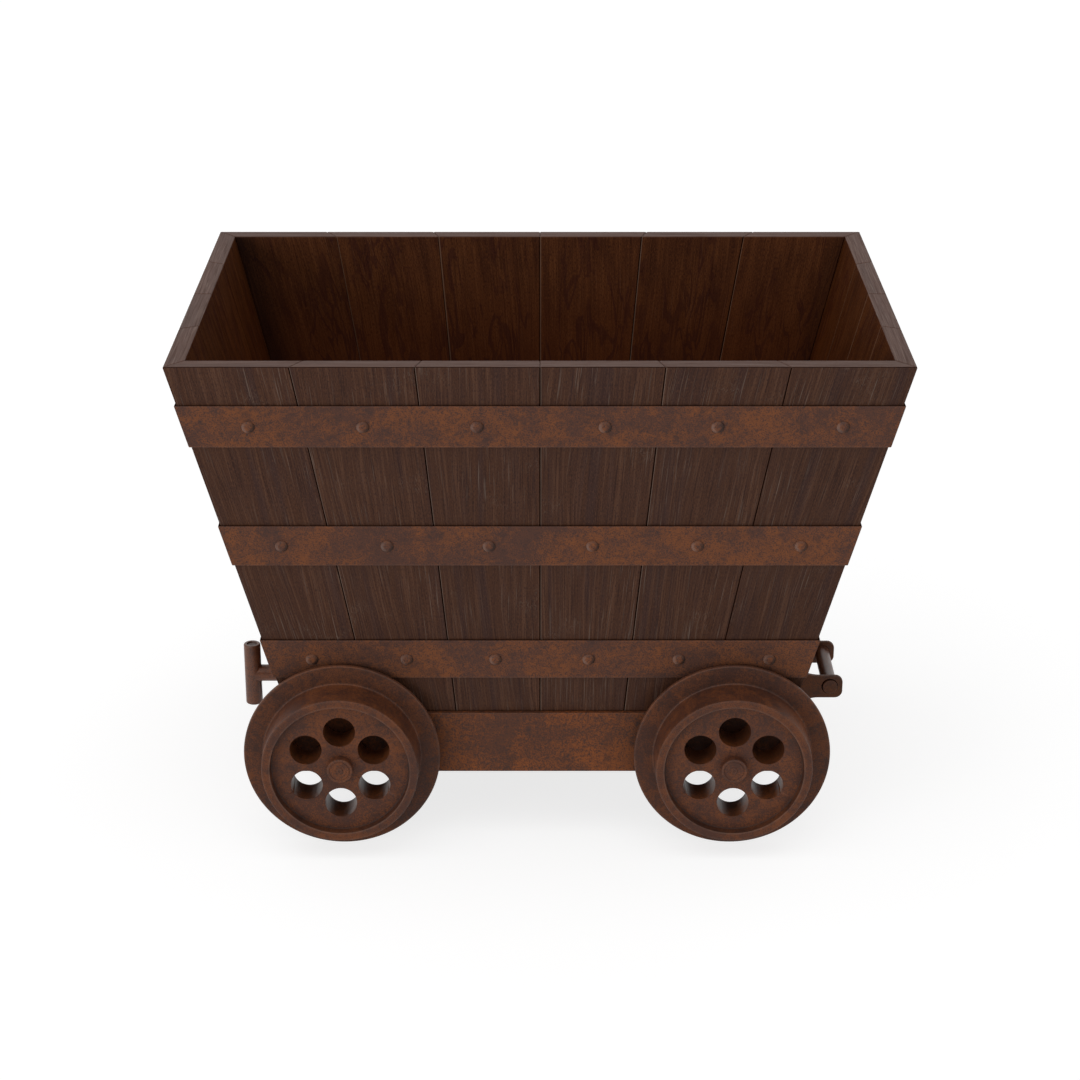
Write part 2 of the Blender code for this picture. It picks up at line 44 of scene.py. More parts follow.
class Wire:  # a socket, with maths on it
    def __init__(self, graph, socket):
        self.graph = graph
        self.socket = socket

    def sums(self, operation, first, second, clamp=False):
        settings = {"operation": operation, "use_clamp": clamp}
        return self.graph.node("ShaderNodeMath", settings, {0: first, 1: second})

    def __add__(self, other):
        return self.sums("ADD", self, other)

    def __radd__(self, other):
        return self.sums("ADD", other, self)

    def __sub__(self, other):
        return self.sums("SUBTRACT", self, other)

    def __rsub__(self, other):
        return self.sums("SUBTRACT", other, self)

    def __mul__(self, other):
        return self.sums("MULTIPLY", self, other)

    def __rmul__(self, other):
        return self.sums("MULTIPLY", other, self)

    def orMore(self, other):
        return self.sums("MAXIMUM", self, other)

    def held(self):  # kept between 0 and 1
        return self.sums("ADD", self, 0.0, True)


class Graph:  # the nodes of one material or of the world
    def __init__(self, tree):
        self.tree = tree

    def put(self, value, into):
        if isinstance(value, Wire):
            self.tree.links.new(value.socket, into)
        else:
            into.default_value = value

    def node(self, kind, settings=None, sockets=None, out=None):
        made = self.tree.nodes.new(kind)
        for key, value in (settings or {}).items():
            setattr(made, key, value)
        for key, value in (sockets or {}).items():
            if isinstance(key, int):
                into = made.inputs[key]
            else:
                into = next(s for s in made.inputs if s.enabled and s.name == key)
            self.put(value, into)
        shown = [s for s in made.outputs if s.enabled]
        return Wire(self, next((s for s in shown if s.name == out), shown[0]))

    def stretched(self, vector, scale):
        return self.node("ShaderNodeVectorMath", {"operation": "MULTIPLY"}, {0: vector, 1: scale})

    def moved(self, vector, by):
        return self.node("ShaderNodeVectorMath", {"operation": "ADD"}, {0: vector, 1: by})

    def scaled(self, colour, by):
        return self.node("ShaderNodeVectorMath", {"operation": "SCALE"}, {0: colour, "Scale": by})

    def noise(self, vector, scale, detail, broken=0.55, twist=0.0):
        return self.node("ShaderNodeTexNoise", None, {
            "Vector": vector, "Scale": scale, "Detail": detail, "Roughness": broken, "Distortion": twist})

    def drawn(self, vector, count, detail, broken, start=None, twist=0.0):  # noise drawn out along the grain
        if start:
            vector = self.moved(vector, (*start, 0.0))
        return self.noise(self.stretched(vector, (*count, 1.0)), 1.0, detail, broken, twist)

    def blended(self, patterns, shares):
        parts = [patterns[key] * share for key, share in shares.items()]
        return sum(parts[1:], parts[0])

    def mixed(self, share, first, second):
        return self.node("ShaderNodeMix", {"data_type": "RGBA"}, {"Factor": share, "A": first, "B": second})

    def ramped(self, value, low, high):  # 0 at low, 1 at high, also where high is the lesser
        return self.node("ShaderNodeMapRange", {"interpolation_type": "SMOOTHSTEP"}, {
            "Value": value, "From Min": low, "From Max": high})

    def painted(self, name):  # a number painted on the mesh
        return self.node("ShaderNodeAttribute", {"attribute_name": name}, None, "Fac")

    def place(self):
        return self.node("ShaderNodeTexCoord", None, None, "Object")

    def along(self, vector, axis):
        return self.node("ShaderNodeSeparateXYZ", None, {"Vector": vector}, axis)

    def bumped(self, height, distance):
        return self.node("ShaderNodeBump", None, {"Height": height, "Distance": distance})

    def seen(self):  # 1 for what is looked at, also in a reflection, and 0 for what only lights
        kinds = ("Is Camera Ray", "Is Glossy Ray", "Is Transmission Ray")
        camera, glossy, through = [self.node("ShaderNodeLightPath", None, None, kind) for kind in kinds]
        return camera.orMore(glossy).orMore(through)


class Finish(Graph):  # a material, whose shader takes fixed values and wires
    def __init__(self, name, fixed):
        self.material = bpy.data.materials.new(name)
        self.material.use_nodes = True
        super().__init__(self.material.node_tree)
        self.shader = self.tree.nodes["Principled BSDF"]
        self.feed(fixed)

    def feed(self, sockets):
        for key, value in sockets.items():
            self.put(value, self.shader.inputs[key])


def tint(red, green, blue):  # a screen colour, 0 to 255, as the shader wants it
    shares = [level / 255 for level in (red, green, blue)]
    return (*[s / 12.92 if s < 0.0404 else ((s + 0.055) / 1.055) ** 2.4 for s in shares], 1.0)


def lookOf(base=(), **settings):  # triples are screen colours
    made = dict(base)
    for key, value in settings.items():
        made[key] = tint(*value) if isinstance(value, tuple) and len(value) == 3 else value
    return made


# Timber: fibres run along the second grain coordinate, in metres
inside = lookOf(
    deep=(46, 20, 8), ash=(120, 90, 72), dusk=(42, 15, 5), vein=(42, 10, 9), pores=1.0, rough=0.70, relief=0.0006)
timberLooks = {
    "outerTimber": lookOf(
        deep=(41, 19, 11), body=(63, 34, 17), pale=(82, 51, 33), ash=(110, 92, 81), dusk=(45, 25, 23),
        fibres=1.0, ticks=0.62, bands=0.60, pores=0.95, grime=0.20, rough=0.58, shine=0.20, relief=0.0011),
    "innerTimber": lookOf(
        inside, body=(80, 42, 18), pale=(96, 54, 26), damp=(86, 35, 6),
        fibres=0.7, ticks=0.10, bands=0.40, grime=0.50, shine=0.09,
        # the corner settings paint shade towards the tub's corners
        corner=dict(axis="X", foot=0.3943, slope=0.2607, wide=0.085, deep=0.60)),
    "endTimber": lookOf(
        inside, body=(78, 41, 18), pale=(94, 53, 26), damp=(80, 34, 6),
        fibres=0.8, ticks=0.25, bands=0.45, grime=0.60, shine=0.016,
        # the corner settings paint shade towards the tub's corners
        corner=dict(axis="Y", foot=0.2946, slope=0.1317, wide=0.03, deep=0.30)),
    "rimTimber": lookOf(
        deep=(62, 38, 29), body=(80, 53, 42), pale=(96, 69, 57), ash=(128, 112, 100), dusk=(56, 38, 32),
        fibres=0.8, ticks=0.30, bands=0.35, pores=0.40, grime=0.15, rough=0.62, shine=0.23, relief=0.0006),
    "floorTimber": lookOf(
        deep=(38, 19, 11), body=(57, 31, 17), pale=(70, 41, 24), ash=(104, 82, 66), dusk=(42, 22, 13),
        fibres=0.8, ticks=0.25, bands=0.60, pores=0.50, grime=0.60, rough=0.74, shine=0.06, relief=0.0010),
}

# noise in the grain: how many to a metre across and along, detail, brokenness, start, twist
straightPatterns = {
    "wander": ((7.0, 1.7), 2.0, 0.55), "patches": ((11.0, 3.0), 3.0, 0.55),
    "grime": ((28.0, 6.5), 7.0, 0.70, (7.9, 4.4)), "curls": ((120.0, 40.0), 1.0, 0.5, (4.6, 9.2), 1.6),
    "spread": ((9.0, 10.0), 2.0, 0.5, (8.2, 0.7))}
wavyPatterns = {
    "bands": ((34.0, 1.0), 3.0, 0.55), "fibres": ((215.0, 4.4), 4.0, 0.62),
    "threads": ((330.0, 7.0), 3.0, 0.60, (5.3, 2.9)), "hairs": ((620.0, 17.0), 2.0, 0.5),
    "ticks": ((430.0, 7.5), 3.0, 0.55, (1.7, 8.1)), "pores": ((640.0, 170.0), 2.0, 0.6, (3.3, 6.1))}
figurePattern = ((30.0, 6.0), 2.0, 0.60, None, 0.9)
# laid over the body colour in turn: pattern, where it starts to show and shows in full, amounts, colour
grainLayers = (
    ("fibres", 0.48, 0.64, ("fibres",), "pale"), ("threads", 0.48, 0.35, ("fibres", 0.8), "deep"),
    ("bands", 0.48, 0.68, ("bands",), "dusk"), ("hairs", 0.50, 0.70, (0.36,), "deep"),
    ("grime", 0.44, 0.64, ("grime",), "dusk"), ("pores", 0.52, 0.70, ("pores",), "deep"),
    ("pores", 0.48, 0.30, ("pores", 0.6), "pale"))
grainRamps = dict(
    ticks=(0.585, 0.68), tickPatches=(0.38, 0.58), curlIn=(0.50, 0.54), curlOut=(0.58, 0.54),
    curlSpread=(0.58, 0.70), veins=(0.0022, 0.0002), veinPatches=(0.40, 0.56), damp=(1.0, 0.72),
    farCornerShade=(0.04, 0.0))
grainShares = dict(sway=0.016, curls=0.5, damp=0.40, veins=0.50, farCornerShade=0.30, wearAndHighlight=0.3, wornFibres=0.6)
grainRough = dict(hairs=0.25, threads=0.12, fibres=0.06)
grainRelief = dict(fibres=0.7, threads=0.5, hairs=0.25, ticks=0.15, pores=0.15)


def timberFinish(name):
    look, shares, uneven, relief = timberLooks[name], grainShares, grainRough, grainRelief
    wood = Finish(name, {"Specular IOR Level": look["shine"]})
    grain = wood.node("ShaderNodeUVMap", {"uv_map": "grain"})
    noises = {key: wood.drawn(grain, *pattern) for key, pattern in straightPatterns.items()}
    sway = wood.node("ShaderNodeCombineXYZ", None, {"X": (noises["wander"] - 0.5) * shares["sway"]})
    lines = wood.moved(grain, sway)
    noises.update({key: wood.drawn(lines, *pattern) for key, pattern in wavyPatterns.items()})
    fibres, threads, hairs, pores = (noises[key] for key in ("fibres", "threads", "hairs", "pores"))

    def shows(value, key):
        return wood.ramped(value, *grainRamps[key])

    colour = look["body"]
    covers = {}
    for key, low, high, amounts, over in grainLayers:
        cover = covers[key] = wood.ramped(noises[key], low, high)
        for amount in amounts:
            cover = cover * look.get(amount, amount)
        colour = wood.mixed(cover, colour, look[over])
    tick = shows(noises["ticks"], "ticks") * shows(noises["patches"], "tickPatches")
    colour = wood.mixed(tick * look["ticks"], colour, look["ash"])
    # thin curls of raised grain, here and there
    curl = shows(noises["curls"], "curlIn") * shows(noises["curls"], "curlOut") * shows(noises["spread"], "curlSpread")
    colour = wood.mixed(curl * look["ticks"] * shares["curls"], colour, look["ash"])

    # the painted tone: each part's own tone, with painted shade and light where a shape sets it
    shade = 1 + wood.painted("toneAndShade")
    if "corner" in look:  # inside the tub: a wavy dark figure, redder towards the bottom, and painted shade in the corners
        corner = look["corner"]
        place = wood.place()
        high = wood.along(place, "Z")
        aside = wood.along(place, corner["axis"])
        figure = wood.drawn(lines, *figurePattern) - 0.5
        veins = shows(figure * figure, "veins") * shows(noises["patches"], "veinPatches")
        colour = wood.mixed(shows(high, "damp") * shares["damp"], colour, look["damp"])
        colour = wood.mixed(veins * shares["veins"], colour, look["vein"])
        # painted shade: the walls darken towards the tub's corners, more at one end than the other
        reach = corner["foot"] + high * corner["slope"]
        shade = shade - shows(reach - aside, "farCornerShade") * shares["farCornerShade"]
        shade = shade - wood.ramped(reach + aside, corner["wide"], 0.0) * corner["deep"]

    worn = wood.painted("wearAndHighlight") * (shares["wearAndHighlight"] + fibres * shares["wornFibres"])
    colour = wood.scaled(wood.mixed(worn, colour, look["ash"]), shade)
    rough = look["rough"] + (hairs - 0.5) * uneven["hairs"]
    rough = rough + covers["threads"] * uneven["threads"] - covers["fibres"] * uneven["fibres"]
    height = fibres * relief["fibres"] + threads * relief["threads"] + hairs * relief["hairs"]
    height = height + tick * relief["ticks"] - pores * relief["pores"]
    bump = wood.bumped(height, look["relief"])
    wood.feed({"Base Color": colour, "Roughness": rough.held(), "Normal": bump})
    return wood


# Rusted iron: clusters of orange specks, soot, and bare metal where the edges are rubbed
forged = lookOf(
    bare=(136, 122, 116), cluster=26.0, speck=160.0, rusty=0.65, sooty=0.45, pitted=0.85, relief=0.0005)
ironLooks = {
    "hoopIron": lookOf(
        body=(80, 48, 35), rust=(132, 76, 39), dark=(46, 31, 29), bare=(128, 112, 104),
        cluster=21.0, speck=120.0, rusty=0.66, sooty=0.50, pitted=0.85, splash=0.22,
        rough=0.60, shine=0.26, relief=0.0008),
    "frameIron": lookOf(
        body=(82, 46, 28), rust=(144, 79, 35), dark=(46, 30, 26), bare=(122, 106, 98),
        cluster=14.0, speck=100.0, rusty=0.75, sooty=0.62, pitted=0.85, splash=0.30,
        rough=0.62, shine=0.28, relief=0.0008),
    "wheelIron": lookOf(
        body=(72, 40, 27), rust=(118, 66, 34), dark=(44, 27, 22), bare=(134, 112, 100),
        cluster=25.0, speck=150.0, rusty=0.82, sooty=0.58, pitted=0.70, rough=0.56, shine=0.27, relief=0.0006),
    "holeIron": lookOf(
        body=(80, 44, 25), rust=(126, 70, 32), dark=(44, 26, 20), bare=(140, 126, 118),
        cluster=25.0, speck=150.0, rusty=0.85, sooty=0.55, pitted=0.85, rough=0.40, shine=0.40, relief=0.0003),
    "pinIron": lookOf(
        forged, body=(78, 46, 31), rust=(112, 62, 32), dark=(50, 34, 29),
        rusty=0.50, sooty=0.40, rough=0.32, shine=0.44, relief=0.0002),
    "drawbarIron": lookOf(
        forged, body=(90, 53, 36), rust=(126, 70, 36), dark=(56, 36, 29), rough=0.33, shine=0.40),
    "couplerIron": lookOf(
        forged, body=(79, 47, 31), rust=(112, 64, 32), dark=(50, 32, 26), rough=0.50, shine=0.24),
}

# noise on the iron: a multiple of the look's own clusters or specks, detail, brokenness, start
rustPatterns = {
    "weather": ("cluster", 0.28, 2.0, 0.5, (6.3, 1.2, 8.8)), "clusters": ("cluster", 1.0, 5.0, 0.62, (3.1, 7.7, 1.9)),
    "soot": ("cluster", 1.8, 6.0, 0.70, (9.4, 2.3, 5.1)), "specks": ("speck", 1.0, 5.0, 0.72, None),
    "grit": ("speck", 3.2, 3.0, 0.75, (2.2, 4.8, 6.6))}
rustBlends = {
    "rust": {"specks": 0.5, "grit": 0.7, "clusters": 0.7, "weather": 0.4},
    "pits": {"grit": 0.8, "specks": 0.2},
    "rubbed": {"clusters": 0.6, "specks": 0.4},
    "relief": {"specks": 0.7, "grit": 0.35, "clusters": 0.6},
}
rustRamps = dict(rust=(1.02, 1.34), soot=(0.48, 0.70), pits=(0.52, 0.36), rubbed=(0.32, 0.52))
rustShares = dict(bare=0.85, metal=0.6, roughGrit=0.25, roughRust=0.10, smoothBare=0.2)
# painted shade close to the wheels, from their flanges out
splash = dict(shiftX=0.006, halfBase=0.3895, axleHeight=0.196, far=0.275, near=0.192)


def ironFinish(name):
    look, shares = ironLooks[name], rustShares
    iron = Finish(name, {"Specular IOR Level": look["shine"]})
    place = iron.place()
    patterns = {}
    for key, (base, times, detail, broken, start) in rustPatterns.items():
        spot = iron.moved(place, start) if start else place
        patterns[key] = iron.noise(spot, look[base] * times, detail, broken)

    def shows(key):
        value = iron.blended(patterns, rustBlends[key]) if key in rustBlends else patterns[key]
        return iron.ramped(value, *rustRamps[key])

    rust = shows("rust")
    colour = iron.mixed(rust * look["rusty"], look["body"], look["rust"])
    colour = iron.mixed(shows("soot") * look["sooty"], colour, look["dark"])
    colour = iron.mixed(shows("pits") * look["pitted"], colour, look["dark"])
    rubbed = (iron.painted("wearAndHighlight").orMore(iron.painted("rub")) * shows("rubbed")).held()
    # the painted tone: each part's own tone, with painted shade and light where a shape sets it
    shade = 1 + iron.painted("toneAndShade")
    # painted shade: iron close to the wheels is darkened, as if they shade it
    if "splash" in look:
        fromMiddle = iron.along(place, "X") + splash["shiftX"]
        aside = fromMiddle.orMore(0 - fromMiddle) - splash["halfBase"]
        up = iron.along(place, "Z") - splash["axleHeight"]
        reach = iron.ramped(aside * aside + up * up, splash["far"] ** 2, splash["near"] ** 2)
        shade = shade - reach * look["splash"]
    colour = iron.scaled(iron.mixed(rubbed * shares["bare"], colour, look["bare"]), shade)
    rough = look["rough"] + (patterns["grit"] - 0.5) * shares["roughGrit"]
    rough = rough + rust * shares["roughRust"] - rubbed * shares["smoothBare"]
    bump = iron.bumped(iron.blended(patterns, rustBlends["relief"]), look["relief"])
    iron.feed({"Base Color": colour, "Roughness": rough.held(), "Metallic": rubbed * shares["metal"], "Normal": bump})
    return iron


# Turned metal that runs in grease
metalLooks = {
    "axleSteel": lookOf(body=(108, 100, 94), film=(44, 34, 28), metal=0.85, rough=0.38, share=0.75),
    "bushBronze": lookOf(body=(156, 118, 66), film=(60, 42, 26), metal=0.9, rough=0.34, share=0.55),
}
metalMarks = dict(
    film=(26.0, 6.0, 0.65), filmRamp=(0.40, 0.62), filmRough=0.3,
    rings=(40.0, 900.0, 40.0), ringDetail=2.0, ringRough=0.15, relief=0.00008)


def metalFinish(name):
    look, marks = metalLooks[name], metalMarks
    metal = Finish(name, {"Metallic": look["metal"]})
    place = metal.place()
    film = metal.noise(place, *marks["film"])
    rings = metal.noise(metal.stretched(place, marks["rings"]), 1.0, marks["ringDetail"])
    cover = metal.ramped(film, *marks["filmRamp"]) * look["share"]
    colour = metal.mixed(cover, look["body"], look["film"])
    rough = look["rough"] + cover * marks["filmRough"] + (rings - 0.5) * marks["ringRough"]
    metal.feed({"Base Color": colour, "Roughness": rough.held(), "Normal": metal.bumped(rings, marks["relief"])})
    return metal


# Dirt packed into seams; the same dark finish paints shade on the hoops' ledges and a shadow round the pin's ends
dirtLook = lookOf(
    dry=(36, 16, 8), damp=(18, 7, 3), rough=0.9, uneven=0.2, shine=0.0,
    clods=90.0, detail=4.0, broken=0.6, ramp=(0.35, 0.65), relief=0.0008)


def dirtFinish():
    look = dirtLook
    dirtAndShade = Finish("seamDirtAndShade", {"Specular IOR Level": look["shine"]})
    clods = dirtAndShade.noise(dirtAndShade.place(), look["clods"], look["detail"], look["broken"])
    colour = dirtAndShade.mixed(dirtAndShade.ramped(clods, *look["ramp"]), look["damp"], look["dry"])
    rough = look["rough"] + (clods - 0.5) * look["uneven"]
    dirtAndShade.feed({"Base Color": colour, "Roughness": rough.held(), "Normal": dirtAndShade.bumped(clods, look["relief"])})
    return dirtAndShade


dirtAndShade = dirtFinish()
timber = {name: timberFinish(name) for name in timberLooks}
iron = {name: ironFinish(name) for name in ironLooks}
metal = {name: metalFinish(name) for name in metalLooks}
print("finishes made:", len(timber) + len(iron) + len(metal))


# What the shapes share: angles in degrees, lengths in metres; an edge elsewhere is (rounding, wear)
making = dict(
    crease=48, arcStep=22, leastSteps=2, fade=0.0025, fadeRoom=2.5,
    tiny=1e-6, sliver=0.00002, weld=0.00003, flat=1.0)


def facedOut(shape):
    shape.normal_update()
    bmesh.ops.recalc_face_normals(shape, faces=shape.faces)


def meshOf(name, shape):
    mesh = bpy.data.meshes.new(name)
    shape.to_mesh(mesh)
    shape.free()
    return mesh


def addObject(name, data):
    made = bpy.data.objects.new(name, data)
    scene.collection.objects.link(made)
    return made


def standing(spot, degrees, axis):
    return Matrix.Translation(spot) @ Matrix.Rotation(math.radians(degrees), 4, axis)


def addPiece(node, kind, shape, finishes, body="cart"):
    name = node + "_" + kind
    facedOut(shape)
    mesh = meshOf(name, shape)
    mesh.polygons.foreach_set("use_smooth", [True] * len(mesh.polygons))
    mesh.set_sharp_from_angle(angle=math.radians(making["crease"]))
    for finish in finishes:
        mesh.materials.append(finish.material)
    piece = addObject(name, mesh)
    even = piece.modifiers.new("even_faces", "WEIGHTED_NORMAL")  # keeps flat faces flat beside their rounded edges
    even.keep_sharp = True
    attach(piece, body)
    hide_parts(node)


def boxShape(placed):
    # a block, its corners placed from 0 to 1 along each way
    shape = bmesh.new()
    bmesh.ops.create_cube(shape, size=1.0)
    for vert in shape.verts:
        vert.co = placed(*(vert.co + Vector((0.5, 0.5, 0.5))))
    return shape


def roundEdges(shape, edges, width, steps=2):
    return bmesh.ops.bevel(shape, geom=list(edges), offset=width, segments=steps, profile=0.5,
                           affect="EDGES", clamp_overlap=True)


def sharpEdges(shape, degrees):
    least = math.radians(degrees)
    return [e for e in shape.edges if len(e.link_faces) == 2 and e.calc_face_angle(0.0) > least]


def edgeMiddle(edge):
    return (edge.verts[0].co + edge.verts[1].co) / 2


def roundedLine(points):
    # points of (across, along, radius of the corner, wear on it), as (across, along, wear)
    line = []
    for i, (across, along, radius, worn) in enumerate(points):
        here = Vector((across, along))
        if radius <= 0 or i in (0, len(points) - 1):
            line.append((across, along, worn))
            continue
        last, following = Vector(points[i - 1][:2]), Vector(points[i + 1][:2])
        back = (last - here).normalized()
        ahead = (following - here).normalized()
        half = back.angle(ahead) / 2
        centre = here + (back + ahead).normalized() * radius / math.sin(half)
        start = here + back * radius / math.tan(half) - centre
        end = here + ahead * radius / math.tan(half) - centre
        steps = max(making["leastSteps"], round(math.degrees(math.pi - 2 * half) / making["arcStep"]))
        faded = radius / math.tan(half) + making["fade"]  # how far from the corner the wear ends
        if worn and (last - here).length > making["fadeRoom"] * faded:
            line.append((*(here + back * faded), 0.0))
        for k in range(steps + 1):
            spoke = centre + start.slerp(end, k / steps) * radius
            line.append((spoke.x, spoke.y, worn))
        if worn and (following - here).length > making["fadeRoom"] * faded:
            line.append((*(here + ahead * faded), 0.0))
    return line


def turnShape(line, count, shape=None, stand=None, loop=False):
    # a line of (radius, height, wear) turned about Z
    shape = shape or bmesh.new()
    wearAndHighlight = shape.verts.layers.float.get("wearAndHighlight") or shape.verts.layers.float.new("wearAndHighlight")
    rings = []
    for radius, height, worn in line:
        turns = [0.0] if radius < making["tiny"] else [math.tau * k / count for k in range(count)]
        ring = [shape.verts.new((radius * math.cos(t), radius * math.sin(t), height)) for t in turns]
        for vert in ring:
            vert[wearAndHighlight] = worn
        rings.append(ring)
    for one, two in zip(rings, rings[1:] + (rings[:1] if loop else [])):
        for k in range(count):
            corners = []
            for ring, turn in ((one, k), (one, k + 1), (two, k + 1), (two, k)):
                vert = ring[turn % len(ring)]
                if vert not in corners:
                    corners.append(vert)
            if len(corners) > 2:
                shape.faces.new(corners)
    if stand:
        bmesh.ops.transform(shape, matrix=stand, verts=[v for ring in rings for v in ring])
    return shape


def applied(shape, cutter, operation):
    # one shape cut by, or joined to, another
    pieces = []
    for each in (shape, cutter):
        facedOut(each)
        pieces.append(addObject("former", meshOf("former", each)))
    cut = pieces[0].modifiers.new("cut", "BOOLEAN")
    cut.operation = operation
    cut.solver = "EXACT"
    cut.object = pieces[1]
    bpy.context.view_layer.update()
    result = bmesh.new()
    result.from_object(pieces[0], bpy.context.evaluated_depsgraph_get())
    for each in pieces:
        mesh = each.data
        bpy.data.objects.remove(each)
        bpy.data.meshes.remove(mesh)
    return result


# Tub
tub = dict(
    rimHeight=1.0325, rimLength=1.400, rimWidth=0.941,
    footHeight=0.2768, footLength=1.006, footWidth=0.742,
    endWall=0.0365, sideWall=0.040, sidePlanks=6, endPlanks=4,
    seam=-0.0001, edgeRound=0.0026, edgeSteps=3,
    floorBoards=4, floorThickness=0.036, floorGap=0.0003, floorRound=0.0022,
    toneAndShade=dict(
        # near_side is painted light: lighter towards the left end, darker towards the right; the other walls' tones
        # differ at random
        near_side=(0.06, 0.03, 0.0, 0.0, -0.02, -0.06), far_side=(-0.03, 0.04, -0.01, 0.03, -0.04, 0.02),
        drawbar_end=(0.03, -0.02, 0.04, -0.03), hitch_end=(-0.02, 0.03, -0.04, 0.02)))
tub["tall"] = tub["rimHeight"] - tub["footHeight"]
# how far a face has to turn, as a part of its normal, to be one kind or another
plankFaces = dict(
    top=0.62, inside=-0.6, broad=0.8, outer=0.5, inner=-0.5, rimDirt=0.3,
    seam=0.4, tightSeam=0.8, nearlyInside=-0.2, litSeamEdge=-0.18, rimDepth=0.0012)
plankGrain = dict(step=(0.713, 1.371), edgeShift=0.4)  # each plank is cut from another spot of the grain
boards = dict(seam=0.3, broad=0.6, grainStep=1.93, grainStart=40)


def tubHalf(z):
    rise = (z - tub["footHeight"]) / tub["tall"]
    length = tub["footLength"] + (tub["rimLength"] - tub["footLength"]) * rise
    width = tub["footWidth"] + (tub["rimWidth"] - tub["footWidth"]) * rise
    return length / 2, width / 2


def plankShape(wall, index, count, number):
    lengthwise = wall in ("near_side", "far_side")
    sign = -1 if wall in ("near_side", "drawbar_end") else 1
    thick = tub["sideWall"] if lengthwise else tub["endWall"]
    turns = plankFaces

    def corner(u, v, w):
        z = tub["footHeight"] + tub["tall"] * w
        length, width = tubHalf(z)
        length -= tub["endWall"] * v
        width -= tub["sideWall"] * v
        across = 2 * (index + u) / count - 1
        gap = tub["seam"] * (0.5 - u)
        if lengthwise:
            return across * length + gap, sign * width, z
        return sign * length, across * width + gap, z

    def grainAt(co):  # how far across, deep and high a point is in the plank
        length, width = tubHalf(co.z)
        out, along, wide = (co.y, co.x, length) if lengthwise else (co.x, co.y, width)
        v = ((width if lengthwise else length) - abs(out)) / thick
        wide -= (tub["endWall"] if lengthwise else tub["sideWall"]) * v
        return ((along / wide + 1) / 2 * count - index), v, co.z

    shape = boxShape(corner)
    corners = [Vector(corner(u, 0.0, w)) for u in (0.0, 1.0) for w in (0.0, 1.0) if index == u * (count - 1)]

    def crisp(edge):  # the tub's own corners are not rounded
        return all(any((v.co - c).length < making["tiny"] for c in corners) for v in edge.verts)

    facedOut(shape)
    roundEdges(shape, [e for e in shape.edges if not crisp(e)], tub["edgeRound"], tub["edgeSteps"])
    facedOut(shape)
    grain = shape.loops.layers.uv.new("grain")
    wearAndHighlight = shape.faces.layers.float.new("wearAndHighlight")
    toneAndShade = shape.faces.layers.float.new("toneAndShade")
    sizes = ("rimLength", "footLength") if lengthwise else ("rimWidth", "footWidth")
    broad = sum(tub[size] for size in sizes) / 2 / count
    shift = Vector([number * step for step in plankGrain["step"]])
    for face in shape.faces:
        outward = (face.normal.y if lengthwise else face.normal.x) * sign
        aside = face.normal.x if lengthwise else face.normal.y
        onTop = abs(face.normal.z) > turns["top"]
        face[toneAndShade] = tub["toneAndShade"][wall][index]
        face.material_index = 2 if onTop and face.normal.z > 0 else (1 if outward < turns["inside"] else 0)
        seam = turns["seam"] if outward > turns["nearlyInside"] or aside > 0 else turns["tightSeam"]
        if face.calc_center_median().z > tub["rimHeight"] - turns["rimDepth"]:
            seam = turns["tightSeam"]  # also across the rim
        inner = outward < turns["inner"] and wall != "drawbar_end"
        if (face.normal.z > turns["rimDirt"] and outward > turns["outer"]) or abs(aside) > seam:
            face.material_index = 3  # dirt in the seams and along the rim's outer edge
        elif aside < turns["litSeamEdge"] and index and (outward > turns["outer"] or inner):
            face[wearAndHighlight] = 1.0  # painted highlight: the edge beside each seam that faces the light is painted pale
        for loop in face.loops:
            u, v, z = grainAt(loop.vert.co)
            if onTop:
                spot = Vector((v * thick, u * broad))
            elif abs(outward) > turns["broad"]:
                spot = Vector((u * broad, z))
            else:
                spot = Vector((v * thick + plankGrain["edgeShift"], z))
            loop[grain].uv = spot + shift
    return shape


plankFinishes = {"sidePlanks": [timber["outerTimber"], timber["innerTimber"], timber["rimTimber"], dirtAndShade],
                 "endPlanks": [timber["outerTimber"], timber["endTimber"], timber["rimTimber"], dirtAndShade]}
tubWalls = {"near_side": "sidePlanks", "far_side": "sidePlanks", "drawbar_end": "endPlanks", "hitch_end": "endPlanks"}
number = 0
for wall, count in tubWalls.items():
    for index in range(tub[count]):
        number += 1
        node = wall + "_plank_" + str(index + 1)
        addPiece(node, "timber", plankShape(wall, index, tub[count], number), plankFinishes[count])


def floorBoardShape(index):
    def corner(u, v, w):
        z = tub["footHeight"] + tub["floorThickness"] * w
        length, width = tubHalf(z)
        length -= tub["endWall"] + tub["floorGap"]
        width -= tub["sideWall"] + tub["floorGap"]
        across = 2 * (index + v) / tub["floorBoards"] - 1
        return (2 * u - 1) * length, across * width + tub["seam"] * (0.5 - v), z

    shape = boxShape(corner)
    roundEdges(shape, shape.edges, tub["floorRound"])
    grain = shape.loops.layers.uv.new("grain")
    shape.normal_update()
    for face in shape.faces:
        face.material_index = 1 if abs(face.normal.y) > boards["seam"] else 0  # dirt between the boards
        for loop in face.loops:
            co = loop.vert.co
            side = co.y if abs(face.normal.z) > boards["broad"] else co.z
            loop[grain].uv = (side + index * boards["grainStep"] + boards["grainStart"], co.x)
    return shape


for index in range(tub["floorBoards"]):
    node = "floor_board_" + str(index + 1)
    addPiece(node, "timber", floorBoardShape(index), [timber["floorTimber"], dirtAndShade])
print("tub planked and floored")


